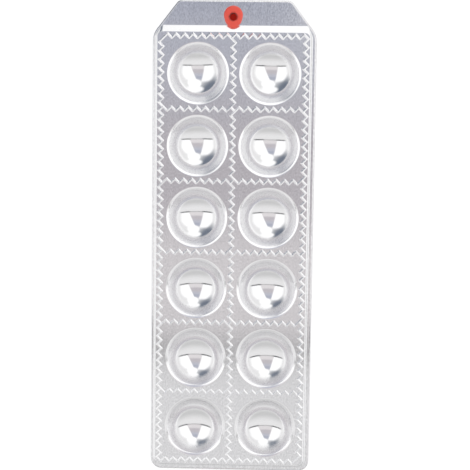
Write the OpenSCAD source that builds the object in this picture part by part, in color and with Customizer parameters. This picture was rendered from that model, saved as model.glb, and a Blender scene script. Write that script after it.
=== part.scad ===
// Ravioli mould: a tray with round bowls and zigzag cutting ridges, pressed from one
// aluminium sheet, and a moulded eyelet in its end tab. Millimetres. The origin is on
// the standing plane, at the middle of the tray's outline. X runs across, and Y runs
// along the tray towards the tab. The modules are drawn about the middle of the bowl
// grid, and centred() moves each node to the origin.

/* [Bowls] */
// Bowls side by side
bowl_cols = 2; // [1:1:4]
// Bowls along the length
bowl_rows = 6; // [2:1:8]
// Distance between neighbouring bowl centres, both ways
cell_pitch = 45; // [44:0.5:60]
// Radius at which the ball of a bowl would meet the plate, without its lip
bowl_r = 18.2; // [14:0.1:18.2]
// Depth of a bowl below the plate
bowl_depth = 12; // [8:0.5:12.5]
// Radius of the rounded lip of a bowl
lip_r = 2; // [1.5:0.1:2.2]

/* [Cutting ridges] */
// Strokes of the zigzag along one side of a cell, an odd number
cell_strokes = 17; // [13:2:19]
// Width of the ridge at its foot
ridge_w = 1.3; // [1:0.05:1.4]
// Width of the ridge at its crest
crest_w = 0.55; // [0.4:0.05:0.8]
// Height of the ridge above the plate
ridge_h = 0.8; // [0.6:0.05:1.2]
// Height at which the ridge narrows to its crest
shoulder_h = 0.45; // [0.2:0.05:0.5]
// Width of the pressed groove under each ridge
groove_w = 0.5; // [0.3:0.05:0.7]
// Depth of the pressed groove under each ridge
groove_d = 0.5; // [0.2:0.05:0.6]
// Sideways offset of the plate and its ridges from the bowls
press_x = -0.6; // [-0.8:0.1:0.8]
// Lengthways offset of the plate and its ridges from the bowls
press_y = 0.5; // [-0.8:0.1:0.8]

/* [Pan] */
// Thickness of the aluminium sheet
sheet = 1; // [0.8:0.05:1.2]
// Height of the plate's upper face above the standing plane
plate_h = 15; // [15:0.5:22]
// Flat between the outermost ridge tips and the edge of the plate
plate_margin = 0.1; // [0.05:0.05:1]
// Corner radius of the plate
plate_corner_r = 3.5; // [3:0.5:4]
// Drop from the plate to the ledge and the tab
step_drop = 2; // [1.6:0.1:2.6]
// Width of the step along both sides and the plain end
step_w = 1.8; // [1.5:0.1:2.2]
// Width of the step at the tab end
tab_step_w = 4.5; // [4.2:0.1:6]
// Least flat of the ledge beside the step, along both sides
side_ledge_w = 0.1; // [0.1:0.1:3]
// Flat of the ledge at the plain end
end_ledge_w = 1.5; // [0.6:0.1:3]
// Outer radius of the edge where the ledge turns down into the wall
edge_r = 1.3; // [1.3:0.1:1.6]
// Radius of the two corners at the plain end
pan_corner_r = 7; // [6:0.5:8]

/* [Tab] */
// Length of the flat tab beyond the foot of its step
tab_l = 15.5; // [15.5:0.1:24]
// Width across the tab's end, measured to the sharp corners
tab_end_w = 70; // [64:0.2:80]
// Length of the slanted sides, along Y
slant_l = 21; // [16:0.5:21]
// Radius where a long side turns into a slanted side
shoulder_r = 12; // [8:0.5:14]
// Radius of the tab's end corners
tab_corner_r = 5; // [3:0.5:8]

/* [Eyelet] */
// Bore of the eyelet, for a hook or a nail
bore_d = 4.4; // [3:0.1:5]
// Rounding of the bore's mouth
mouth_r = 0.6; // [0.3:0.1:0.8]
// Width of the egg-shaped upper flange
flange_w = 12.6; // [11.6:0.1:13]
// Distance from the bore to the flange's wide end
flange_out = 6.7; // [6.5:0.1:6.9]
// Distance from the bore to the flange's narrow end, which laps the step
flange_in = 7.2; // [6.8:0.1:7.6]
// Radius of the narrow end
nose_r = 5; // [4.4:0.1:5.6]
// Thickness of the upper flange
flange_t = 1.9; // [1.7:0.1:2.4]
// Rounding of the flange's upper edge
flange_edge_r = 1.2; // [0.6:0.1:1.4]
// Diameter of the neck that passes through the tab
neck_d = 7; // [6.4:0.1:8]
// Diameter of the lower flange
under_d = 10; // [9:0.1:10.6]
// Thickness of the lower flange
under_t = 1.2; // [0.8:0.1:1.6]
// Sideways offset of the bore from the middle of the tab
eyelet_x = -1; // [-3:0.1:3]
// Distance from the foot of the tab's step to the bore
eyelet_y = 5; // [5:0.1:5.9]
// Gap round the neck, and between the flange and the step
eyelet_gap = 0.15; // [0.1:0.05:0.3]

/* [Hidden] */
silver = [0.80, 0.80, 0.82];
red = [0.90, 0.26, 0.22];
post_fn = 32;
round_fn = 64;
cut = 1;
// The lip is set this much proud of a tangent, so that it meets the plate in an edge
lip_break = 0.03;

// Zigzag lattice: a stroke spans the same length both ways
stroke = cell_pitch / cell_strokes;
strokes_x = bowl_cols * cell_strokes;
strokes_y = bowl_rows * cell_strokes;
grid_w = bowl_cols * cell_pitch;
grid_l = bowl_rows * cell_pitch;
tip_reach = stroke / 2 + ridge_w / sqrt(2);

// Levels
ledge_z = plate_h - step_drop;
ledge_under_z = ledge_z - sheet;

// Plate and pan
plate_half_w = grid_w / 2 + tip_reach + plate_margin;
plate_half_l = grid_l / 2 + tip_reach + plate_margin;
pan_half_w = plate_half_w + abs(press_x) + step_w + side_ledge_w + edge_r;
plain_y = press_y - plate_half_l - step_w - end_ledge_w - edge_r;
foot_y = press_y + plate_half_l + tab_step_w;
tab_y = foot_y + tab_l;
slant_y = tab_y - slant_l;
tab_half_w = tab_end_w / 2;

// Middle of the tray's length, seen from the middle of the bowl grid
mid_y = (tab_y + plain_y) / 2;

// Outward normal of the right slanted side, and its distance from the origin
slant_n = [slant_l, pan_half_w - tab_half_w] / norm([slant_l, pan_half_w - tab_half_w]);
slant_c = slant_n * [pan_half_w, slant_y];

// Right half of the pan's outline: centre and radius of each corner
function corner(v, n1, n2, r) = [v - r * (n1 + n2) / (1 + n1 * n2), r];
pan_corners = [
    corner([pan_half_w, plain_y], [1, 0], [0, -1], pan_corner_r),
    corner([pan_half_w, slant_y], [1, 0], slant_n, shoulder_r),
    corner([tab_half_w, tab_y], slant_n, [0, 1], tab_corner_r)
];

// Foot of the tab's step: its end corners stay inside the slanted sides
foot_r = 2;
foot_corner_y = foot_y - foot_r;
foot_corner_x = (slant_c - edge_r - side_ledge_w - foot_r - slant_n[1] * foot_corner_y) / slant_n[0];

// Side profile of the step: part of its width and part of its drop, from the foot up
step_profile = [[1, 1], [0.42, 0.25], [0.2, 0.07], [0, 0]];

// Bowl: a ball's cap with a rounded lip that touches the ball
ball_r = (bowl_r * bowl_r + bowl_depth * bowl_depth) / (2 * bowl_depth);
ball_z = ball_r - bowl_depth;
lip_z = lip_break - lip_r;
lip_x = sqrt(pow(ball_r + lip_r, 2) - pow(ball_z - lip_z, 2));
lip_dir = [lip_x, lip_z - ball_z] / (ball_r + lip_r);

// Eyelet
eyelet_at = [eyelet_x, foot_y + eyelet_y];

module tray()
{
    color(silver) centred() difference()
    {
        union()
        {
            difference()
            {
                pan_outside();
                pan_inside();
            }
            at_bowls() bowl(sheet, -sheet / 2);
            zigzag(ridge_w, plate_h - sheet / 2, plate_h + shoulder_h);
            zigzag(crest_w, plate_h, plate_h + ridge_h);
        }
        at_bowls() bowl(0, cut);
        zigzag(groove_w, plate_h - sheet - cut, plate_h - sheet + groove_d);
        translate([eyelet_at[0], eyelet_at[1], ledge_under_z - cut])
            cylinder(h = sheet + 2 * cut, d = neck_d + 2 * eyelet_gap, $fn = round_fn);
    }
}

module centred() translate([0, -mid_y, 0]) children();

// Outer form: the rim block with its rounded edge, and the raised plate on it
module pan_outside()
{
    hull() both_sides() for (c = pan_corners)
    {
        post(c[0], c[1], c[1], 0, ledge_z - edge_r);
        for (a = [0 : 22.5 : 67.5])
        {
            b = a + 22.5;
            post(c[0], c[1] - edge_r * (1 - cos(a)), c[1] - edge_r * (1 - cos(b)),
                ledge_z - edge_r * (1 - sin(a)), ledge_z - edge_r * (1 - sin(b)));
        }
    }
    hull() plate_posts(0, ledge_z - edge_r);
}

// Hollow below: the same forms, one sheet thickness further in
module pan_inside()
{
    hull() both_sides() for (c = pan_corners)
    {
        post(c[0], c[1] - sheet, c[1] - sheet, -cut, ledge_z - edge_r);
        post(c[0], c[1] - sheet, c[1] - edge_r, ledge_z - edge_r, ledge_under_z);
    }
    hull() plate_posts(sheet, ledge_under_z - cut);
}

// Corners of the plate's block, from inside the rim up to the edge of the plate
module plate_posts(inset, base_z)
{
    side_in = inset * tan(atan(step_drop / step_w) / 2);
    tab_in = inset * tan(atan(step_drop / tab_step_w) / 2);
    corner_x = plate_half_w - plate_corner_r;
    corner_y = plate_half_l - plate_corner_r;
    top_z = plate_h - inset;
    for (sx = [-1, 1], sy = [-1, 1])
    {
        at = [press_x + sx * corner_x, press_y + sy * corner_y];
        foot = plate_corner_r + step_w - side_in;
        post(at, foot, foot, base_z, top_z - step_drop);
        for (k = [1 : len(step_profile) - 1])
        {
            low = step_profile[k - 1];
            high = step_profile[k];
            post(at, plate_corner_r + low[0] * step_w - side_in, plate_corner_r + high[0] * step_w - side_in,
                top_z - low[1] * step_drop, top_z - high[1] * step_drop);
        }
    }
    both_sides()
        post([foot_corner_x, foot_corner_y], foot_r - tab_in, foot_r - tab_in, base_z, top_z - step_drop);
}

// Round post between two levels, straight or tapered
module post(at, r_low, r_high, low, high)
{
    translate([at[0], at[1], low]) cylinder(h = high - low, r1 = r_low, r2 = r_high, $fn = post_fn);
}

module both_sides()
{
    children();
    mirror([1, 0, 0]) children();
}

module at_bowls()
{
    for (i = [0 : bowl_cols - 1], k = [0 : bowl_rows - 1])
        translate([(i - (bowl_cols - 1) / 2) * cell_pitch, (k - (bowl_rows - 1) / 2) * cell_pitch, plate_h])
            children();
}

// Everything inside the bowl's surface, moved out by a wall, up to a level above the plate
module bowl(wall, top)
{
    touch_z = ball_z + lip_dir[1] * (ball_r + wall);
    rotate_extrude($fn = round_fn) union()
    {
        intersection()
        {
            translate([0, ball_z]) circle(ball_r + wall, $fn = round_fn);
            translate([0, -bowl_depth - wall - cut]) square([ball_r + wall + cut, top + bowl_depth + wall + cut]);
        }
        difference()
        {
            translate([0, touch_z]) square([lip_x, top - touch_z]);
            translate([lip_x, lip_z]) circle(lip_r - wall, $fn = round_fn);
        }
    }
}

// Zigzag band round every cell, as a wall between two levels
module zigzag(width, low, high)
{
    loops = concat(
        [widened(rim_tips(), width / 2)],
        [for (i = [0 : bowl_cols - 1], k = [0 : bowl_rows - 1]) widened(cell_tips(i, k), -width / 2)]
    );
    sizes = [for (loop = loops) len(loop)];
    translate([0, 0, low]) linear_extrude(high - low)
        polygon([for (loop = loops) each loop],
            [for (q = [0 : len(loops) - 1]) [for (n = [0 : sizes[q] - 1]) sum(sizes, q) + n]]);
}

function sum(list, count) = count == 0 ? 0 : list[count - 1] + sum(list, count - 1);

// Tips of the zigzag that runs down column line i, and of the one along row line k.
// Lines cross along one shared stroke, because a cell has an odd number of strokes.
function tip_down(i, j) = [
    press_x - grid_w / 2 + i * cell_pitch + side_of(i + j) * stroke / 2,
    press_y + grid_l / 2 - (j + 0.5) * stroke
];
function tip_across(k, m) = [
    press_x - grid_w / 2 + (m + 0.5) * stroke,
    press_y + grid_l / 2 - k * cell_pitch - side_of(k + m) * stroke / 2
];
function side_of(n) = n % 2 == 0 ? 1 : -1;

// Closed zigzag, clockwise from the top left, between two column and two row lines
function loop_tips(i0, i1, k0, k1) = distinct(concat(
    [for (m = [i0 * cell_strokes : i1 * cell_strokes - 1]) tip_across(k0, m)],
    [for (j = [k0 * cell_strokes : k1 * cell_strokes - 1]) tip_down(i1, j)],
    [for (m = [i1 * cell_strokes - 1 : -1 : i0 * cell_strokes]) tip_across(k1, m)],
    [for (j = [k1 * cell_strokes - 1 : -1 : k0 * cell_strokes]) tip_down(i0, j)]
));
function rim_tips() = loop_tips(0, bowl_cols, 0, bowl_rows);
function cell_tips(i, k) = loop_tips(i, i + 1, k, k + 1);

// A closed outline without its repeated neighbours
function distinct(p) = [for (n = [0 : len(p) - 1]) if (norm(p[n] - next(p, n)) > stroke / 2) p[n]];
function next(p, n) = p[(n + 1) % len(p)];

// A clockwise outline moved outwards by d, with mitred corners
function widened(p, d) = [for (n = [0 : len(p) - 1])
    let (n1 = left_of(p[(n + len(p) - 1) % len(p)], p[n]), n2 = left_of(p[n], next(p, n)))
        p[n] + d * (n1 + n2) / (1 + n1 * n2)];
function left_of(a, b) = [a[1] - b[1], b[0] - a[0]] / norm(b - a);

module hanging_eyelet()
{
    color(red) centred() difference()
    {
        union()
        {
            difference()
            {
                hull()
                {
                    flange_post(flange_out - flange_w / 2, flange_w / 2);
                    flange_post(nose_r - flange_in, nose_r);
                }
                // Relief over the slope of the step
                translate([0, eyelet_gap, eyelet_gap]) hull() plate_posts(0, ledge_z - edge_r);
            }
            eyelet_disc(neck_d, ledge_under_z - under_t, ledge_z + flange_t / 2);
            eyelet_disc(under_d, ledge_under_z - under_t, ledge_under_z);
        }
        eyelet_disc(bore_d, ledge_under_z - under_t - cut, ledge_z + flange_t + cut);
        translate([eyelet_at[0], eyelet_at[1], ledge_z + flange_t]) rotate_extrude($fn = round_fn)
            difference()
            {
                translate([0, -mouth_r]) square([bore_d / 2 + mouth_r, mouth_r + cut]);
                translate([bore_d / 2 + mouth_r, -mouth_r]) circle(mouth_r, $fn = round_fn);
            }
    }
}

// One round end of the flange's outline, with its upper edge rounded
module flange_post(dy, r)
{
    at = eyelet_at + [0, dy];
    top = ledge_z + flange_t;
    post(at, r, r, ledge_z, top - flange_edge_r);
    for (a = [0 : 30 : 60])
    {
        b = a + 30;
        post(at, r - flange_edge_r * (1 - cos(a)), r - flange_edge_r * (1 - cos(b)),
            top - flange_edge_r * (1 - sin(a)), top - flange_edge_r * (1 - sin(b)));
    }
}

module eyelet_disc(d, low, high)
{
    translate([eyelet_at[0], eyelet_at[1], low]) cylinder(h = high - low, d = d, $fn = round_fn);
}

tray();
hanging_eyelet();
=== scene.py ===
import math

import bpy
import numpy as np
from mathutils import Matrix, Vector
from mathutils.geometry import delaunay_2d_cdt


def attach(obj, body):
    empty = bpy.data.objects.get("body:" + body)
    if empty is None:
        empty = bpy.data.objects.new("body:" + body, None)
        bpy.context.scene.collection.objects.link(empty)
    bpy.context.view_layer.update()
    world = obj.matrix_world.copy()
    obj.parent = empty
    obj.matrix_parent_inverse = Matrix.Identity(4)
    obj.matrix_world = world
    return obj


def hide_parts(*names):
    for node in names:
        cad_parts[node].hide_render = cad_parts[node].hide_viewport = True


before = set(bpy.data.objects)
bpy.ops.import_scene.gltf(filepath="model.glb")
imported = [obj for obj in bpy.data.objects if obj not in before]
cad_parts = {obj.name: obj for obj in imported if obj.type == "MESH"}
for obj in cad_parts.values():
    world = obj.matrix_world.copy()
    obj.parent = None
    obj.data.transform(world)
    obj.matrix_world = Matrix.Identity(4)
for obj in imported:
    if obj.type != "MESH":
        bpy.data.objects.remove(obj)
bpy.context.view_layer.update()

# Sizes of the part
PITCH, COLS, ROWS, STROKES = 45.0, 2, 6, 17
STROKE = PITCH / STROKES
SHEET = 1.0
PLATE_Z, STEP_DROP = 15.0, 2.0
LEDGE_Z = PLATE_Z - STEP_DROP
RIDGE_W, PLATE_MARGIN = 1.3, 0.1
BOWL_R, BOWL_DEPTH, LIP_R = 18.2, 12.0, 2.0
PLATE_CORNER_R, STEP_W, TAB_STEP_W = 3.5, 1.8, 4.5
EDGE_R, SIDE_LEDGE, END_LEDGE = 1.3, 0.1, 1.5
PAN_CORNER_R, TAB_L, TAB_END_W, SLANT_L = 7.0, 15.5, 70.0, 21.0
SHOULDER_R, TAB_CORNER_R, FOOT_R = 12.0, 5.0, 2.0
PRESS = np.array([-0.6, 0.5])
TIP_REACH = STROKE / 2 + RIDGE_W / math.sqrt(2)
PLATE_HALF = np.array([COLS, ROWS]) * PITCH / 2 + TIP_REACH + PLATE_MARGIN
PAN_HALF_W = PLATE_HALF[0] + abs(PRESS[0]) + STEP_W + SIDE_LEDGE + EDGE_R
PLAIN_Y = PRESS[1] - PLATE_HALF[1] - STEP_W - END_LEDGE - EDGE_R
FOOT_Y = PRESS[1] + PLATE_HALF[1] + TAB_STEP_W
TAB_Y = FOOT_Y + TAB_L
MID_Y = (TAB_Y + PLAIN_Y) / 2
EYELET_X, EYELET_Y = -1.0, 5.0
BORE = np.array([EYELET_X, FOOT_Y + EYELET_Y - MID_Y])
BORE_R, NECK_R, TAB_HOLE_R = 2.2, 3.5, 3.65
FLANGE_T, MOUTH_R, MOUTH_DEPTH = 1.9, 0.75, 1.2
FLANGE_TOP = LEDGE_Z + FLANGE_T

GRID = np.array([0.0, -MID_Y])
PLATE_AT = PRESS + GRID


class Skin:
    """Points with their own normals, joined by strips, fans and flat fills."""

    def __init__(self):
        self.points, self.normals, self.faces, self.slots = [], [], [], []
        self.haze, self.worn = [], []
        self.slot = 0

    def add(self, points, normals, haze=0.0, worn=0.0):
        """haze: roughness added where the metal is less polished, with the colour pulled towards a plain grey
        as painted shade; worn: share of painted highlight, a lighter base colour
        """
        start = len(self.points)
        self.points.extend(map(tuple, points))
        self.normals.extend(map(tuple, normals))
        self.haze.extend([haze] * len(points))
        self.worn.extend([worn] * len(points))
        return np.arange(start, len(self.points))

    def face(self, *corners):
        self.faces.append(corners)
        self.slots.append(self.slot)

    def strip(self, a, b):
        for n in range(len(a)):
            m = (n + 1) % len(a)
            self.face(a[n], a[m], b[m], b[n])

    def strips(self, loops):
        for a, b in zip(loops, loops[1:]):
            self.strip(a, b)

    def fan(self, loop, centre):
        for n in range(len(loop)):
            self.face(loop[n], loop[(n + 1) % len(loop)], centre)

    def fill(self, loops):
        """Flat fill between nested loops."""
        index = np.concatenate(loops)
        flat = np.array([self.points[i][:2] for i in index])
        edges, start = [], 0
        for loop in loops:
            size = len(loop)
            edges += [(start + n, start + (n + 1) % size) for n in range(size)]
            start += size
        verts, _, faces, origin, _, _ = delaunay_2d_cdt(
            [Vector(p) for p in flat], edges, [], 0, 1e-7, True
        )
        faces = np.array([f for f in faces if len(f) == 3])
        out = np.array([tuple(v) for v in verts])
        middle = out[faces].mean(axis=1)
        inside = np.zeros(len(faces), bool)
        for loop in loops:
            inside ^= inside_loop(middle, np.array([self.points[i][:2] for i in loop]))
        for f in faces[inside]:
            if all(origin[i] for i in f):
                self.face(*(int(index[origin[i][0]]) for i in f))

    def build(self, name, *materials):
        points = np.array(self.points)
        normals = np.array(self.normals)
        faces, slots = [], []
        for f, slot in zip(self.faces, self.slots):
            f = list(dict.fromkeys(int(i) for i in f))
            if len(f) < 3:
                continue
            p = points[f]
            across = np.cross(p[1] - p[0], p[2] - p[0])
            if len(f) == 4:
                across = np.cross(p[2] - p[0], p[3] - p[1])
            if np.linalg.norm(across) < 1e-9:
                continue
            faces.append(f if across @ normals[f].sum(axis=0) > 0 else f[::-1])
            slots.append(slot)
        mesh = bpy.data.meshes.new(name)
        mesh.from_pydata(points / 1000, [], faces)
        mesh.attributes.new("haze", "FLOAT", "POINT").data.foreach_set("value", self.haze)
        mesh.attributes.new("worn", "FLOAT", "POINT").data.foreach_set("value", self.worn)
        mesh.validate()
        mesh.shade_smooth()
        mesh.normals_split_custom_set_from_vertices(normals.tolist())
        for material in materials:
            mesh.materials.append(material)
        mesh.polygons.foreach_set("material_index", slots)
        piece = bpy.data.objects.new(name, mesh)
        bpy.context.scene.collection.objects.link(piece)
        return piece


def inside_loop(p, loop):
    """Even-odd test of many points against one closed loop."""
    result = np.zeros(len(p), bool)
    a, b = loop, np.roll(loop, -1, axis=0)
    for first in range(0, len(p), 2000):
        q = p[first : first + 2000]
        x, y = q[:, :1], q[:, 1:]
        crosses = (a[:, 1] > y) != (b[:, 1] > y)
        rise = np.where(b[:, 1] == a[:, 1], 1.0, b[:, 1] - a[:, 1])
        at = a[:, 0] + (y - a[:, 1]) * (b[:, 0] - a[:, 0]) / rise
        result[first : first + 2000] = (crosses & (x < at)).sum(axis=1) % 2 == 1
    return result


def side_of(n):
    return 1 if n % 2 == 0 else -1


def tip_down(i, j):
    return (
        PLATE_AT[0] - COLS * PITCH / 2 + i * PITCH + side_of(i + j) * STROKE / 2,
        PLATE_AT[1] + ROWS * PITCH / 2 - (j + 0.5) * STROKE,
    )


def tip_across(k, m):
    return (
        PLATE_AT[0] - COLS * PITCH / 2 + (m + 0.5) * STROKE,
        PLATE_AT[1] + ROWS * PITCH / 2 - k * PITCH - side_of(k + m) * STROKE / 2,
    )


def loop_tips(i0, i1, k0, k1):
    """Tips of the closed zigzag between two column lines and two row lines, clockwise."""
    tips = [tip_across(k0, m) for m in range(i0 * STROKES, i1 * STROKES)]
    tips += [tip_down(i1, j) for j in range(k0 * STROKES, k1 * STROKES)]
    tips += [tip_across(k1, m) for m in reversed(range(i0 * STROKES, i1 * STROKES))]
    tips += [tip_down(i0, j) for j in reversed(range(k0 * STROKES, k1 * STROKES))]
    tips = np.array(tips)
    return tips[np.linalg.norm(np.roll(tips, -1, axis=0) - tips, axis=1) > STROKE / 2]


def zigzag_ring(tips, out, d, steps=3):
    """The zigzag moved by d to its outer (out=1) or inner (out=-1) side, with rounded corners."""
    points, normals = [], []
    count = len(tips)
    for n in range(count):
        u1 = tips[n] - tips[n - 1]
        u2 = tips[(n + 1) % count] - tips[n]
        u1, u2 = u1 / np.linalg.norm(u1), u2 / np.linalg.norm(u2)
        n1, n2 = out * np.array([-u1[1], u1[0]]), out * np.array([-u2[1], u2[0]])
        reach = (n1 + n2) / (1 + n1 @ n2)
        corner = tips[n] + d * reach
        turn = out * (u1[0] * u2[1] - u1[1] * u2[0])
        for s in range(steps + 1):
            t = s / steps
            if abs(turn) < 1e-6:
                points.append(corner + (t - 0.5) * 0.3 * u1)
                normals.append(n1)
                continue
            blend = n1 * math.cos(t * math.pi / 2) + n2 * math.sin(t * math.pi / 2)
            if turn < 0:
                r = 0.12 + 0.5 * d
                points.append(corner - r * reach + r * blend)
            else:
                r = max(0.1, 0.3 - 0.2 * d)
                points.append(corner + r * reach - r * blend)
            normals.append(blend)
    return np.array(points), np.array(normals)


def with_z(points, normals, z, level):
    """Plan points and normals as space ones; level is the normal's (outward, upward) parts."""
    level = np.array(level, float)
    level /= np.linalg.norm(level)
    p = np.column_stack([points, np.full(len(points), z)])
    v = np.column_stack([normals * level[0], np.full(len(points), level[1])])
    return p, v


def zigzag(skin, profile, z0, up):
    """Ridges or grooves along the whole lattice: the profile is (distance, height, normal out, normal up)."""
    loops = [(loop_tips(0, COLS, 0, ROWS), 1)]
    for k in range(ROWS):
        for i in range(COLS):
            loops.append((loop_tips(i, i + 1, k, k + 1), -1))
    first, last = [], []
    for tips, out in loops:
        rings = []
        for d, h, outward, upward in profile:
            # painted highlight: every ring of the ridge but its foot takes the lighter colour, with added
            # roughness
            worn = 0.0 if (d, h) == profile[-1][:2] else 1.0
            ring = with_z(*zigzag_ring(tips, out, d), z0 + h, (outward, upward * up))
            rings.append(skin.add(*ring, haze=0.14 * worn, worn=worn))
        skin.strips(rings)
        first.append(rings[0])
        last.append(rings[-1])
    skin.fill(first)
    return last


def hull_corner(circles, quadrant, count):
    """Part of the hull of circles between two right-angled directions: points, normals and spacing."""
    theta = np.radians(90 * quadrant + np.linspace(0, 90, 271))
    n = np.column_stack([np.cos(theta), np.sin(theta)])
    centres = np.array([c[:2] for c in circles])
    radii = np.array([c[2] for c in circles])
    reach = n @ centres.T + radii
    pick = reach.argmax(axis=1)
    p = centres[pick] + radii[pick][:, None] * n
    length = np.concatenate([[0], np.cumsum(np.linalg.norm(np.diff(p, axis=0), axis=1))])
    tau = 0.5 * length / length[-1] + 0.5 * (theta - theta[0]) / (math.pi / 2)
    at = np.linspace(0, 1, count)
    turn = np.interp(at, tau, theta)
    return (
        np.column_stack([np.interp(at, tau, p[:, 0]), np.interp(at, tau, p[:, 1])]),
        np.column_stack([np.cos(turn), np.sin(turn)]),
    )


def hull(circles, count=28):
    """Closed outline round circles, counter-clockwise from the right side."""
    parts = [hull_corner(circles, q, count) for q in range(4)]
    return np.concatenate([p for p, _ in parts]), np.concatenate([n for _, n in parts])


def corner(v, n1, n2, r):
    n1, n2 = np.array(n1), np.array(n2)
    return np.array(v) - r * (n1 + n2) / (1 + n1 @ n2)


slant = np.array([SLANT_L, PAN_HALF_W - TAB_END_W / 2])
SLANT_N = slant / np.linalg.norm(slant)
SLANT_C = SLANT_N @ np.array([PAN_HALF_W, TAB_Y - SLANT_L])


def pan_circles(inset):
    """Corners of the pan's outline, moved in."""
    result = []
    for v, n1, n2, r in (
        ((PAN_HALF_W, PLAIN_Y), (1, 0), (0, -1), PAN_CORNER_R),
        ((PAN_HALF_W, TAB_Y - SLANT_L), (1, 0), SLANT_N, SHOULDER_R),
        ((TAB_END_W / 2, TAB_Y), SLANT_N, (0, 1), TAB_CORNER_R),
    ):
        c = corner(v, n1, n2, r)
        for side in (1, -1):
            result.append((side * c[0], c[1] - MID_Y, r - inset))
    return result


def step_circles(u, w, inset):
    """Outline of the raised plate's block, u of the way down its sides and w down its tab slope."""
    side_in = inset * math.tan(math.atan(STEP_DROP / STEP_W) / 2)
    tab_in = inset * math.tan(math.atan(STEP_DROP / TAB_STEP_W) / 2)
    foot_y = FOOT_Y - FOOT_R
    foot_x = (SLANT_C - EDGE_R - SIDE_LEDGE - FOOT_R - SLANT_N[1] * foot_y) / SLANT_N[0]
    result = []
    for sx in (-1, 1):
        for sy in (-1, 1):
            a = PLATE_AT + np.array([sx, sy]) * (PLATE_HALF - PLATE_CORNER_R)
            result.append((a[0], a[1], PLATE_CORNER_R + STEP_W * u - side_in))
            if sy > 0:
                b = np.array([sx * foot_x, foot_y - MID_Y])
                m = (1 - w) * a + w * b
                result.append((m[0], m[1], (1 - w) * (PLATE_CORNER_R - side_in) + w * (FOOT_R - tab_in)))
    return result


def step_levels(steps):
    """Down the soft step: share of the side's width, share of the tab's slope, share of the drop."""
    ease = 0.13
    result = []
    for n in range(steps + 1):
        u = n / steps
        q = u * u * (3 - 2 * u)
        slope = 1 / (1 - ease)
        if q < slope * ease / 2:
            w = math.sqrt(2 * ease * q / slope)
        elif q > 1 - slope * ease / 2:
            w = 1 - math.sqrt(2 * ease * (1 - q) / slope)
        else:
            w = q / slope + ease / 2
        result.append((u, w, q))
    return result


def step_rings(skin, inset, top, side):
    """Soft step from the plate's edge down to the ledge. The normals come from the neighbouring levels."""
    levels = step_levels(12)
    outlines = [hull(step_circles(u, w, inset)) for u, w, _ in levels]
    heights = [top - STEP_DROP * q for _, _, q in levels]
    rings = []
    for n, (p, v) in enumerate(outlines):
        before, after = max(n - 1, 0), min(n + 1, len(levels) - 1)
        run = ((outlines[after][0] - outlines[before][0]) * v).sum(axis=1)
        fall = heights[before] - heights[after]
        if n in (0, len(levels) - 1):
            normal = np.column_stack([0 * v, np.ones(len(v))])
        else:
            normal = np.column_stack([v * fall, np.maximum(run, 0.02)])
            normal /= np.linalg.norm(normal, axis=1)[:, None]
        # painted highlight: the inner rings of the step's slope take the lighter colour, with added roughness
        inner = float(0 < n < len(levels) - 1)
        points = np.column_stack([p, np.full(len(p), heights[n])])
        rings.append(skin.add(points, side * normal, haze=0.09 * inner, worn=inner))
    skin.strips(rings)
    return rings[0], rings[-1]


def circle(at, r, z, count, level):
    turn = np.linspace(0, 2 * math.pi, count, endpoint=False)
    n = np.column_stack([np.cos(turn), np.sin(turn)])
    return with_z(np.array(at) + r * n, n, z, level)


BALL_R = (BOWL_R**2 + BOWL_DEPTH**2) / (2 * BOWL_DEPTH)
BALL_Z = BALL_R - BOWL_DEPTH
LIP_X = math.sqrt((BALL_R + LIP_R) ** 2 - (BALL_Z + LIP_R) ** 2)
LIP_TURN = math.atan2(BALL_Z + LIP_R, -LIP_X)


def bowl(skin, at, wall, side, count, lip_steps, ball_steps):
    """A bowl's face: rolled lip, then the ball. The wall moves it outwards for the underside.
    The lip shades like a soft bevel of about 24 degrees, which catches a broad band of light."""
    bevel_share, bevel_middle = 0.354, 0.45
    sharpness = 1 / (bevel_middle**3 + (1 - bevel_middle) ** 3)
    rings = []
    for n in range(lip_steps + 1):
        a = math.pi / 2 + (LIP_TURN - math.pi / 2) * n / lip_steps
        r = LIP_X + (LIP_R - wall) * math.cos(a)
        z = -LIP_R + (LIP_R - wall) * math.sin(a)
        # painted highlight: the lip's colour lightens from the flat inwards, with added roughness
        worn = min(max(n - 0.5, 0), 1.5) / 1.5
        share = bevel_share + sharpness * (n / lip_steps - bevel_middle) ** 3
        shade = math.pi / 2 + (LIP_TURN - math.pi / 2) * share
        level = (side * math.cos(shade), side * math.sin(shade))
        rings.append(skin.add(*circle(at, r, PLATE_Z + z, count, level), haze=0.11 * worn, worn=worn))
    edge = math.pi - LIP_TURN
    start = math.pi / 2 - edge
    for n in range(1, ball_steps):
        a = start * (1 - n / ball_steps)
        r = (BALL_R + wall) * math.sin(a)
        z = BALL_Z - (BALL_R + wall) * math.cos(a)
        # painted shade: the outer wall is rougher and its colour pulled towards a plain grey
        haze = 0.2 * min(1.0, max(0.0, r / BOWL_R - 0.68) / 0.12)
        level = (-side * math.sin(a), side * math.cos(a))
        rings.append(skin.add(*circle(at, r, PLATE_Z + z, count, level), haze=haze))
    skin.strips(rings)
    centre = skin.add([(at[0], at[1], PLATE_Z - BOWL_DEPTH - wall)], [(0, 0, side)])[0]
    skin.fan(rings[-1], centre)
    return rings[0]


def bowl_places():
    return [
        ((i - (COLS - 1) / 2) * PITCH, (k - (ROWS - 1) / 2) * PITCH - MID_Y)
        for i in range(COLS)
        for k in range(ROWS)
    ]


def nearest_cell(loops, skin):
    """Bowl place for each cell loop."""
    places = bowl_places()
    result = []
    for loop in loops:
        middle = np.mean([skin.points[i][:2] for i in loop], axis=0)
        result.append(min(places, key=lambda p: np.linalg.norm(np.array(p) - middle)))
    return result


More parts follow.
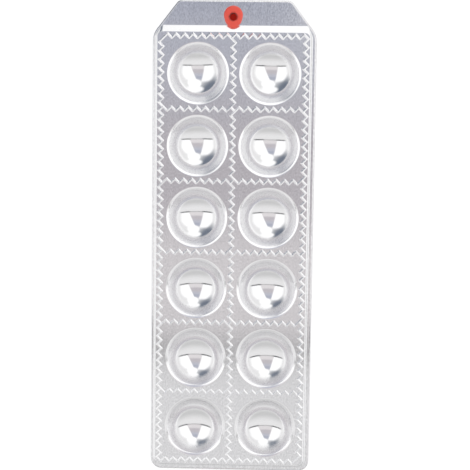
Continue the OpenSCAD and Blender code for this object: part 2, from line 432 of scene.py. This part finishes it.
def tray_upper(*materials):
    skin = Skin()
    ridge = [(0.02, 0.8, 0, 1), (0.07, 0.775, 0.4, 0.92), (0.14, 0.71, 0.7, 0.71), (0.32, 0.49, 0.73, 0.68)]
    ridge += [(0.52, 0.25, 0.73, 0.68), (0.68, 0.07, 0.66, 0.75), (0.74, 0.02, 0.35, 0.94), (0.8, 0.0, 0, 1)]
    feet = zigzag(skin, ridge, PLATE_Z, 1)
    for loop, at in zip(feet[1:], nearest_cell(feet[1:], skin)):
        skin.slot = 1
        rim = bowl(skin, at, 0.0, 1, 96, 7, 18)
        skin.slot = 0
        skin.fill([loop, rim])
    top, foot = step_rings(skin, 0.0, PLATE_Z, 1)
    skin.fill([top, feet[0]])
    edge = []
    for n in range(7):
        a = math.pi / 2 * (1 - n / 6)
        inset = EDGE_R * (1 - math.cos(a))
        z = LEDGE_Z - EDGE_R * (1 - math.sin(a))
        edge.append(skin.add(*with_z(*hull(pan_circles(inset)), z, (math.cos(a), math.sin(a)))))
    for inset, z, level in (
        (0.0, 0.25, (1, 0)),
        (0.07, 0.07, (0.7, -0.7)),
        (0.25, 0.0, (0, -1)),
        (0.75, 0.0, (0, -1)),
        (0.93, 0.07, (-0.7, -0.7)),
        (1.0, 0.25, (-1, 0)),
    ):
        edge.append(skin.add(*with_z(*hull(pan_circles(inset)), z, level)))
    skin.strips(edge)
    hole = [skin.add(*circle(BORE, TAB_HOLE_R + 0.15, LEDGE_Z, 48, (0, 1)))]
    hole.append(skin.add(*circle(BORE, TAB_HOLE_R, LEDGE_Z - 0.15, 48, (-1, 0))))
    hole.append(skin.add(*circle(BORE, TAB_HOLE_R, LEDGE_Z - SHEET, 48, (-1, 0))))
    skin.strips(hole)
    skin.fill([edge[0], foot, hole[0]])
    return skin.build("tray_upper_face", *materials)


def tray_under(material):
    skin = Skin()
    groove = ((0.10, 0.5, 0.0, 1.0), (0.20, 0.42, -0.8, 0.6), (0.32, 0.1, -0.8, 0.6), (0.42, 0.0, 0.0, 1.0))
    feet = zigzag(skin, groove, PLATE_Z - SHEET, -1)
    for loop, at in zip(feet[1:], nearest_cell(feet[1:], skin)):
        rim = bowl(skin, at, SHEET, -1, 72, 5, 12)
        skin.fill([loop, rim])
    top, foot = step_rings(skin, SHEET, PLATE_Z - SHEET, -1)
    skin.fill([top, feet[0]])
    wall = []
    for inset, z, level in (
        (1.0, 0.25, (-1, 0)),
        (1.0, LEDGE_Z - EDGE_R, (-1, 0)),
        (1.09, LEDGE_Z - SHEET - 0.09, (-0.7, -0.7)),
        (EDGE_R, LEDGE_Z - SHEET, (0, -1)),
    ):
        wall.append(skin.add(*with_z(*hull(pan_circles(inset)), z, level)))
    skin.strips(wall)
    hole = skin.add(*circle(BORE, TAB_HOLE_R, LEDGE_Z - SHEET, 48, (0, -1)))
    skin.fill([wall[-1], foot, hole])
    return skin.build("tray_lower_face", material)


def egg(inset):
    """Outline of the eyelet's flange, moved in: a hull of three circles given by offset and radius."""
    return hull([(BORE[0], BORE[1] + dy, r - inset) for dy, r in ((1.0, 5.95), (-0.9, 5.4), (-3.5, 3.75))])


def tab_height(y):
    """Height of the sheet under the eyelet: the tab, then the soft step up to the plate."""
    _, w, q = np.array(step_levels(40)).T
    return LEDGE_Z + STEP_DROP * (1 - np.interp(1 - (FOOT_Y - MID_Y - y) / TAB_STEP_W, w, q))


def eyelet(material):
    skin = Skin()
    outline, out = egg(0.0)
    base = tab_height(outline[:, 1]) + 0.02
    rings = [skin.add(np.column_stack([outline, base]), np.column_stack([out, 0 * base]))]
    for n in range(9):
        a = math.pi / 2 * n / 8
        p, v = egg(1.5 * (1 - math.cos(a)))
        drop = np.minimum(1.2, FLANGE_TOP - 0.1 - base)
        z = FLANGE_TOP - 0.05 - drop * (1 - math.sin(a))
        rise = np.full(len(p), max(math.sin(a), 0.05))
        rings.append(skin.add(np.column_stack([p, z]), np.column_stack([v * math.cos(a), rise])))
    p, v = egg(2.4)
    rings.append(skin.add(*with_z(p, v, FLANGE_TOP, (0.03, 1))))
    skin.strips(rings)
    mouth = []
    for n in range(6):
        a = math.pi / 2 * (1 + n / 5)
        r = BORE_R + MOUTH_R * (1 + math.cos(a))
        z = FLANGE_TOP - MOUTH_DEPTH * (1 - math.sin(a))
        mouth.append(skin.add(*circle(BORE, r, z, 56, (math.cos(a), math.sin(a)))))
    for r, z, level in (
        (BORE_R, 11.0, (-1, 0)),
        (BORE_R + 0.2, 10.8, (0, -1)),
        (4.7, 10.8, (0, -1)),
        (4.92, 10.88, (0.7, -0.7)),
        (5.0, 11.1, (1, 0)),
        (5.0, 11.75, (1, 0)),
        (4.9, 11.95, (0.7, 0.7)),
        (4.75, 11.98, (0, 1)),
        (NECK_R, 11.98, (0, 1)),
        (NECK_R, 12.9, (1, 0)),
    ):
        mouth.append(skin.add(*circle(BORE, r, z, 56, level)))
    skin.strips(mouth)
    skin.fill([rings[-1], mouth[0]])
    lower = skin.add(np.column_stack([outline, base]), np.tile((0.0, 0.0, -1.0), (len(outline), 1)))
    inner = skin.add(*circle(BORE, NECK_R, LEDGE_Z + 0.02, 56, (0, -1)))
    skin.fill([lower, inner])
    return skin.build("eyelet_moulding", material)


# Materials
def new_material(name):
    material = bpy.data.materials.new(name)
    material.use_nodes = True
    nodes = material.node_tree.nodes
    nodes.clear()
    shader = nodes.new("ShaderNodeBsdfPrincipled")
    output = nodes.new("ShaderNodeOutputMaterial")
    material.node_tree.links.new(shader.outputs[0], output.inputs[0])
    return material, material.node_tree, shader


def aluminium(name, tones, smooth, rough_most, grain_depth):
    """Bare metal with a fine grain. The haze value makes it rougher and pulls its colour towards a plain
    grey, painted shade; the worn value lightens it, a painted highlight.
    """
    material, tree, shader = new_material(name)
    new, link = tree.nodes.new, tree.links.new
    shader.inputs["Metallic"].default_value = 1.0
    coords = new("ShaderNodeTexCoord")
    haze, painted_highlight_share = new("ShaderNodeAttribute"), new("ShaderNodeAttribute")
    haze.attribute_name, painted_highlight_share.attribute_name = "haze", "worn"

    def noise(scale, detail):
        stretch = new("ShaderNodeMapping")
        stretch.inputs["Scale"].default_value = scale
        link(coords.outputs["Object"], stretch.inputs["Vector"])
        node = new("ShaderNodeTexNoise")
        node.inputs["Scale"].default_value = 1.0
        node.inputs["Detail"].default_value = detail
        link(stretch.outputs[0], node.inputs["Vector"])
        return node.outputs[0]

    def spread(value, low, high, to_low, to_high):
        node = new("ShaderNodeMapRange")
        for socket, limit in zip(("From Min", "From Max", "To Min", "To Max"), (low, high, to_low, to_high)):
            node.inputs[socket].default_value = limit
        link(value, node.inputs["Value"])
        return node.outputs[0]

    def add(a, b):
        node = new("ShaderNodeMath")
        node.operation = "ADD"
        link(a, node.inputs[0])
        link(b, node.inputs[1])
        return node.outputs[0]

    grain = noise((1700, 800, 800), 3.0)
    streaks = noise((700, 24, 24), 2.0)
    tone = new("ShaderNodeMix")
    tone.data_type = "RGBA"
    tone.inputs[6].default_value = (*tones[0], 1)
    tone.inputs[7].default_value = (*tones[1], 1)
    pattern = add(grain, spread(streaks, 0.0, 1.0, 0.42, 0.58))
    link(spread(pattern, 0.78, 1.22, 0.0, 1.0), tone.inputs["Factor"])
    # painted shade: the haze value pulls the colour towards a plain grey
    painted_shade_mix = new("ShaderNodeMix")
    painted_shade_mix.data_type = "RGBA"
    link(tone.outputs[2], painted_shade_mix.inputs[6])
    painted_shade_mix.inputs[7].default_value = (0.87, 0.87, 0.875, 1)
    link(spread(haze.outputs["Fac"], 0.0, 0.3, 0.0, 1.0), painted_shade_mix.inputs["Factor"])
    # painted highlight: the worn value lightens the colour to near white
    worn = new("ShaderNodeMix")
    worn.data_type = "RGBA"
    link(painted_shade_mix.outputs[2], worn.inputs[6])
    worn.inputs[7].default_value = (0.98, 0.98, 0.985, 1)
    link(painted_highlight_share.outputs["Fac"], worn.inputs["Factor"])
    link(worn.outputs[2], shader.inputs["Base Color"])
    link(add(spread(grain, 0.3, 0.7, smooth, rough_most), haze.outputs["Fac"]), shader.inputs["Roughness"])
    bump = new("ShaderNodeBump")
    bump.inputs["Strength"].default_value = grain_depth
    bump.inputs["Distance"].default_value = 0.0001
    link(grain, bump.inputs["Height"])
    link(bump.outputs[0], shader.inputs["Normal"])
    return material


def red_plastic():
    """Moulded plastic, darker towards the hole as painted shade in its mouth and bore, the edge of that shade
    mottled by faint noise.
    """
    material, tree, shader = new_material("red_plastic")
    new, link = tree.nodes.new, tree.links.new
    shader.inputs["Roughness"].default_value = 0.28
    coords = new("ShaderNodeTexCoord")
    flat = new("ShaderNodeVectorMath")
    flat.operation = "MULTIPLY_ADD"
    flat.inputs[1].default_value = (1, 1, 0)
    flat.inputs[2].default_value = (-BORE[0] / 1000, -BORE[1] / 1000, 0)
    link(coords.outputs["Object"], flat.inputs[0])
    away = new("ShaderNodeVectorMath")
    away.operation = "LENGTH"
    link(flat.outputs[0], away.inputs[0])
    mottle = new("ShaderNodeTexNoise")
    mottle.inputs["Scale"].default_value = 700
    link(coords.outputs["Object"], mottle.inputs["Vector"])
    wander = new("ShaderNodeMath")
    wander.operation = "MULTIPLY_ADD"
    wander.inputs[1].default_value = 0.0012
    link(mottle.outputs[0], wander.inputs[0])
    link(away.outputs["Value"], wander.inputs[2])
    near = new("ShaderNodeMapRange")
    near.interpolation_type = "SMOOTHSTEP"
    near.inputs["From Min"].default_value = 0.0024
    near.inputs["From Max"].default_value = 0.0042
    link(wander.outputs[0], near.inputs["Value"])
    # painted shade: dark red near the hole, the plastic's own red further out
    tone = new("ShaderNodeMix")
    tone.data_type = "RGBA"
    tone.inputs[6].default_value = (0.25, 0.012, 0.008, 1)
    tone.inputs[7].default_value = (0.9, 0.105, 0.07, 1)
    link(near.outputs[0], tone.inputs["Factor"])
    link(tone.outputs[2], shader.inputs["Base Color"])
    return material


# The flats' metal is set darker than the bowls' (0.67 to 0.92 against 0.93 to 0.96): painted shade; the grain
# varies the tone within each.
metal = aluminium("aluminium", ((0.67, 0.67, 0.68), (0.92, 0.92, 0.93)), 0.1, 0.16, 0.15)
polished = aluminium("aluminium_polished", ((0.93, 0.93, 0.935), (0.96, 0.96, 0.965)), 0.06, 0.11, 0.01)
# The underside stays as the press left it
unpolished = aluminium("aluminium_unpolished", ((0.62, 0.62, 0.63), (0.86, 0.86, 0.87)), 0.32, 0.4, 0.15)
plastic = red_plastic()
upper = tray_upper(metal, polished)
under = tray_under(unpolished)
ring = eyelet(plastic)
for piece in (upper, under, ring):
    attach(piece, "root")
for piece in (upper, under):
    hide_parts("tray")
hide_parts("hanging_eyelet")


# Camera
def place_camera():
    """Almost straight down, fitted to the outline, the bowls and the ridges in the photo."""
    photo_px, focal_px = 470, 1035
    distance = 653.1
    tilt, azimuth, roll = math.radians(5.729), math.radians(1.585), math.radians(0.752)
    target = Vector((1.81, 11.77 - MID_Y, PLATE_Z))
    level = math.cos(azimuth)
    towards = Vector((math.sin(azimuth), math.sin(tilt) * level, math.cos(tilt) * level)).normalized()
    right = Vector((0, 1, 0)).cross(towards).normalized()
    up = towards.cross(right)
    right, up = math.cos(roll) * right + math.sin(roll) * up, -math.sin(roll) * right + math.cos(roll) * up
    camera = bpy.data.objects.new("camera", bpy.data.cameras.new("camera"))
    bpy.context.scene.collection.objects.link(camera)
    camera.data.sensor_width = 36
    camera.data.lens = camera.data.sensor_width * focal_px / photo_px
    camera.data.clip_start, camera.data.clip_end = 0.01, 20
    at = (target + distance * towards) / 1000
    basis = Matrix((right, up, towards)).transposed().to_4x4()
    camera.matrix_world = Matrix.Translation(at) @ basis
    bpy.context.scene.camera = camera


place_camera()
bpy.context.scene.view_settings.view_transform = "Standard"


# Floor and studio
class Paint:
    """Short forms for the shader nodes of the floor and the studio dome."""

    def __init__(self, name):
        self.material = bpy.data.materials.new(name)
        self.material.use_nodes = True
        self.tree = self.material.node_tree
        self.tree.nodes.clear()
        self.new, self.link = self.tree.nodes.new, self.tree.links.new

    def put(self, value, socket):
        if isinstance(value, (int, float)):
            socket.default_value = value
        else:
            self.link(value, socket)

    def math(self, operation, a, b=0.0, c=0.0):
        node = self.new("ShaderNodeMath")
        node.operation = operation
        for value, socket in zip((a, b, c), node.inputs):
            self.put(value, socket)
        return node.outputs[0]

    def split(self, vector):
        node = self.new("ShaderNodeSeparateXYZ")
        self.link(vector, node.inputs[0])
        return node.outputs

    def from_point(self, about, operation):
        """Length or direction of the way from a point in space to the shaded place."""
        away = self.new("ShaderNodeVectorMath")
        away.operation = "SUBTRACT"
        away.inputs[1].default_value = about
        self.link(self.new("ShaderNodeNewGeometry").outputs["Position"], away.inputs[0])
        node = self.new("ShaderNodeVectorMath")
        node.operation = operation
        self.link(away.outputs[0], node.inputs[0])
        return node

    def rise(self, value, soft):
        """0 below -soft, 1 above +soft"""
        node = self.new("ShaderNodeMapRange")
        node.interpolation_type = "SMOOTHSTEP"
        node.inputs["From Min"].default_value = -soft
        node.inputs["From Max"].default_value = soft
        self.put(value, node.inputs["Value"])
        return node.outputs[0]

    def all_of(self, *masks):
        result = masks[0]
        for mask in masks[1:]:
            result = self.math("MULTIPLY", result, mask)
        return result

    def finish(self, shader):
        self.link(shader, self.new("ShaderNodeOutputMaterial").inputs[0])
        return self.material


FLOOR_Z = -0.0002


def floor_paint():
    """A pale floor, white to the camera, bright in reflections, plain to all other light and clear from
    below. Under the bore a small disc is dark, painted shade, and glows deep red to the camera, a painted
    glow standing for light from the eyelet."""
    paint = Paint("floor_white")
    path = paint.new("ShaderNodeLightPath")
    disc_r, disc_soft = 0.0045, 0.001
    far = paint.from_point((BORE[0] / 1000, BORE[1] / 1000, FLOOR_Z), "LENGTH")
    near = paint.rise(paint.math("SUBTRACT", disc_r, far.outputs["Value"]), disc_soft)
    # painted shade: the floor's disc under the bore is near black
    tone = paint.new("ShaderNodeMix")
    tone.data_type = "RGBA"
    tone.inputs[6].default_value = (0.6, 0.6, 0.6, 1)
    tone.inputs[7].default_value = (0.02, 0.0, 0.0, 1)
    paint.link(near, tone.inputs["Factor"])
    plain = paint.new("ShaderNodeBsdfDiffuse")
    paint.link(tone.outputs[2], plain.inputs["Color"])
    shiny = paint.math("MAXIMUM", path.outputs["Is Glossy Ray"], path.outputs["Is Transmission Ray"])
    seen = paint.math("MULTIPLY", path.outputs["Is Camera Ray"], 0.62)
    level = paint.math("ADD", seen, paint.math("MULTIPLY", shiny, 0.38))
    glow = paint.new("ShaderNodeEmission")
    paint.link(paint.math("MULTIPLY", level, paint.math("SUBTRACT", 1.0, near)), glow.inputs["Strength"])
    # painted glow: the disc shows deep red to the camera, standing for light through the red eyelet
    red = paint.new("ShaderNodeEmission")
    red.inputs["Color"].default_value = (0.27, 0.011, 0.007, 1)
    paint.link(paint.math("MULTIPLY", path.outputs["Is Camera Ray"], near), red.inputs["Strength"])
    both = plain
    for light in (glow, red):
        total = paint.new("ShaderNodeAddShader")
        paint.link(both.outputs[0], total.inputs[0])
        paint.link(light.outputs[0], total.inputs[1])
        both = total
    clear = paint.new("ShaderNodeMixShader")
    paint.link(paint.new("ShaderNodeNewGeometry").outputs["Backfacing"], clear.inputs[0])
    paint.link(both.outputs[0], clear.inputs[1])
    paint.link(paint.new("ShaderNodeBsdfTransparent").outputs[0], clear.inputs[2])
    return paint.finish(clear.outputs[0])


DOME_R, DOME_AT = 0.52, (0.0, -0.008, 0.015)


def dome_paint():
    """Studio round the object: two large softboxes left and right of a dim gap overhead, a small oval
    one towards the tab, a dark doorway beside it, the thin far edge of the gap and bright low walls.
    The half-angle coordinates (p across, q along) are zero overhead and one at the horizon."""
    paint = Paint("studio")
    rise, all_of = paint.rise, paint.all_of
    x, y, z = paint.split(paint.from_point(DOME_AT, "NORMALIZE").outputs[0])
    height = paint.math("MAXIMUM", paint.math("ADD", z, 1.0), 0.05)
    p, q = paint.math("DIVIDE", x, height), paint.math("DIVIDE", y, height)

    def linear(a, b, c):
        """a p + b q + c"""
        return paint.math("ADD", paint.math("MULTIPLY", p, a), paint.math("MULTIPLY_ADD", q, b, c))

    def ellipse(pc, qc, pr, qr, soft):
        """1 inside the ellipse, 0 outside"""
        u = paint.math("MULTIPLY_ADD", p, 1 / pr, -pc / pr)
        v = paint.math("MULTIPLY_ADD", q, 1 / qr, -qc / qr)
        square = paint.math("ADD", paint.math("MULTIPLY", u, u), paint.math("MULTIPLY", v, v))
        far = paint.math("SQRT", square)
        return rise(paint.math("SUBTRACT", 1.0, far), soft)

    past_line = rise(linear(0, 1, 0.165), 0.012)
    right_of_gap, left_of_gap = linear(1, 0.469, -0.173), linear(-1, 0.247, -0.209)
    gap = all_of(
        past_line,
        rise(linear(-1, -0.469, 0.173), 0.02),
        rise(linear(1, -0.247, 0.209), 0.02),
        rise(linear(0, -1, 0.30), 0.05),
    )
    softbox_right = all_of(
        past_line,
        rise(right_of_gap, 0.02),
        rise(linear(-1, 0, 0.57), 0.1),
        rise(linear(-0.9, -1, 0.69), 0.1),
        rise(linear(0, -1, 0.36), 0.06),
    )
    softbox_left = all_of(
        past_line,
        rise(left_of_gap, 0.02),
        rise(linear(1, 0, 0.61), 0.1),
        rise(linear(1.036, -1, 0.80), 0.1),
        rise(linear(0, -1, 0.37), 0.06),
    )
    far_edge = all_of(
        rise(linear(0, -1, -0.148), 0.006),
        rise(linear(0, 1, 0.184), 0.006),
        ellipse(0, 0, 0.62, 0.62, 0.1),
        paint.math("SUBTRACT", 1.0, ellipse(0, -0.166, 0.2, 0.6, 0.15)),
    )
    far_edge_middle = all_of(
        rise(linear(0, -1, -0.155), 0.005),
        rise(linear(0, 1, 0.176), 0.005),
        ellipse(0, -0.166, 0.24, 0.24, 0.2),
    )
    layers = [
        # beyond the plain end
        (rise(linear(0, -1, -0.52), 0.25), (0.42, 0.42, 0.42)),
        # towards the tab
        (rise(linear(0, 1, -0.45), 0.15), (0.84, 0.84, 0.84)),
        # low bright walls all round, plainer beyond the plain end
        (paint.math("SUBTRACT", 1.0, ellipse(0, 0, 0.76, 0.76, 0.12)), (1.15, 1.15, 1.15)),
        (rise(linear(0, -1, -0.62), 0.2), (0.7, 0.7, 0.7)),
        # dark doorway, and the light beside it that the step at the tab reflects
        (ellipse(-0.5, 0.74, 0.42, 0.44, 0.5), (0.17, 0.195, 0.245)),
        (ellipse(0.05, 0.65, 0.26, 0.14, 0.25), (1.08, 1.08, 1.08)),
        # dim gap overhead
        (gap, (0.77, 0.74, 0.75)),
        (all_of(gap, rise(linear(0, 1, 0.03), 0.035)), (0.56, 0.53, 0.56)),
        (all_of(gap, rise(linear(0, 1, -0.11), 0.06)), (0.53, 0.54, 0.61)),
        (all_of(gap, rise(linear(0, 1, -0.197), 0.015)), (0.44, 0.46, 0.545)),
        # softboxes on both sides of the gap and the oval one
        (softbox_right, (1.1, 1.1, 1.1)),
        (softbox_left, (1.1, 1.1, 1.1)),
        (ellipse(0.09, 0.44, 0.22, 0.16, 0.14), (1.1, 1.1, 1.1)),
        # far edge of the gap, faint in the middle
        (far_edge, (0.03, 0.03, 0.04)),
        (far_edge_middle, (0.36, 0.355, 0.36)),
    ]
    colour = (0.84, 0.835, 0.84)
    for mask, tone in layers:
        mix = paint.new("ShaderNodeMix")
        mix.data_type = "RGBA"
        paint.link(mask, mix.inputs["Factor"])
        if isinstance(colour, tuple):
            mix.inputs[6].default_value = (*colour, 1)
        else:
            paint.link(colour, mix.inputs[6])
        mix.inputs[7].default_value = (*tone, 1)
        colour = mix.outputs[2]
    glow = paint.new("ShaderNodeEmission")
    paint.link(colour, glow.inputs["Color"])
    return paint.finish(glow.outputs[0])


def stage_piece(name, points, faces, material):
    mesh = bpy.data.meshes.new(name)
    mesh.from_pydata(points, [], faces)
    mesh.materials.append(material)
    piece = bpy.data.objects.new(name, mesh)
    bpy.context.scene.collection.objects.link(piece)
    return piece


def dome(material, rows=18, count=60):
    """Studio dome down to just under the horizon, hidden from the camera."""
    x, y, z = DOME_AT
    points, faces = [(x, y, z + DOME_R)], []
    for n in range(1, rows + 1):
        down = math.radians(93) * n / rows
        out = DOME_R * math.sin(down)
        for m in range(count):
            turn = 2 * math.pi * m / count
            points.append((x + out * math.cos(turn), y + out * math.sin(turn), z + DOME_R * math.cos(down)))
    for m in range(count):
        after = (m + 1) % count
        faces.append((0, 1 + m, 1 + after))
        for n in range(rows - 1):
            a, b = 1 + n * count, 1 + (n + 1) * count
            faces.append((a + m, b + m, b + after, a + after))
    piece = stage_piece("studio_dome", points, faces, material)
    piece.visible_camera = False
    return piece


floor_corners = [(3 * x, 3 * y, FLOOR_Z) for x, y in ((-1, -1), (1, -1), (1, 1), (-1, 1))]
stage_piece("floor", floor_corners, [(0, 1, 2, 3)], floor_paint())
dome(dome_paint())

world = bpy.data.worlds.new("white")
bpy.context.scene.world = world
world.use_nodes = True
world.node_tree.nodes["Background"].inputs["Color"].default_value = (1, 1, 1, 1)
world.node_tree.nodes["Background"].inputs["Strength"].default_value = 1.0
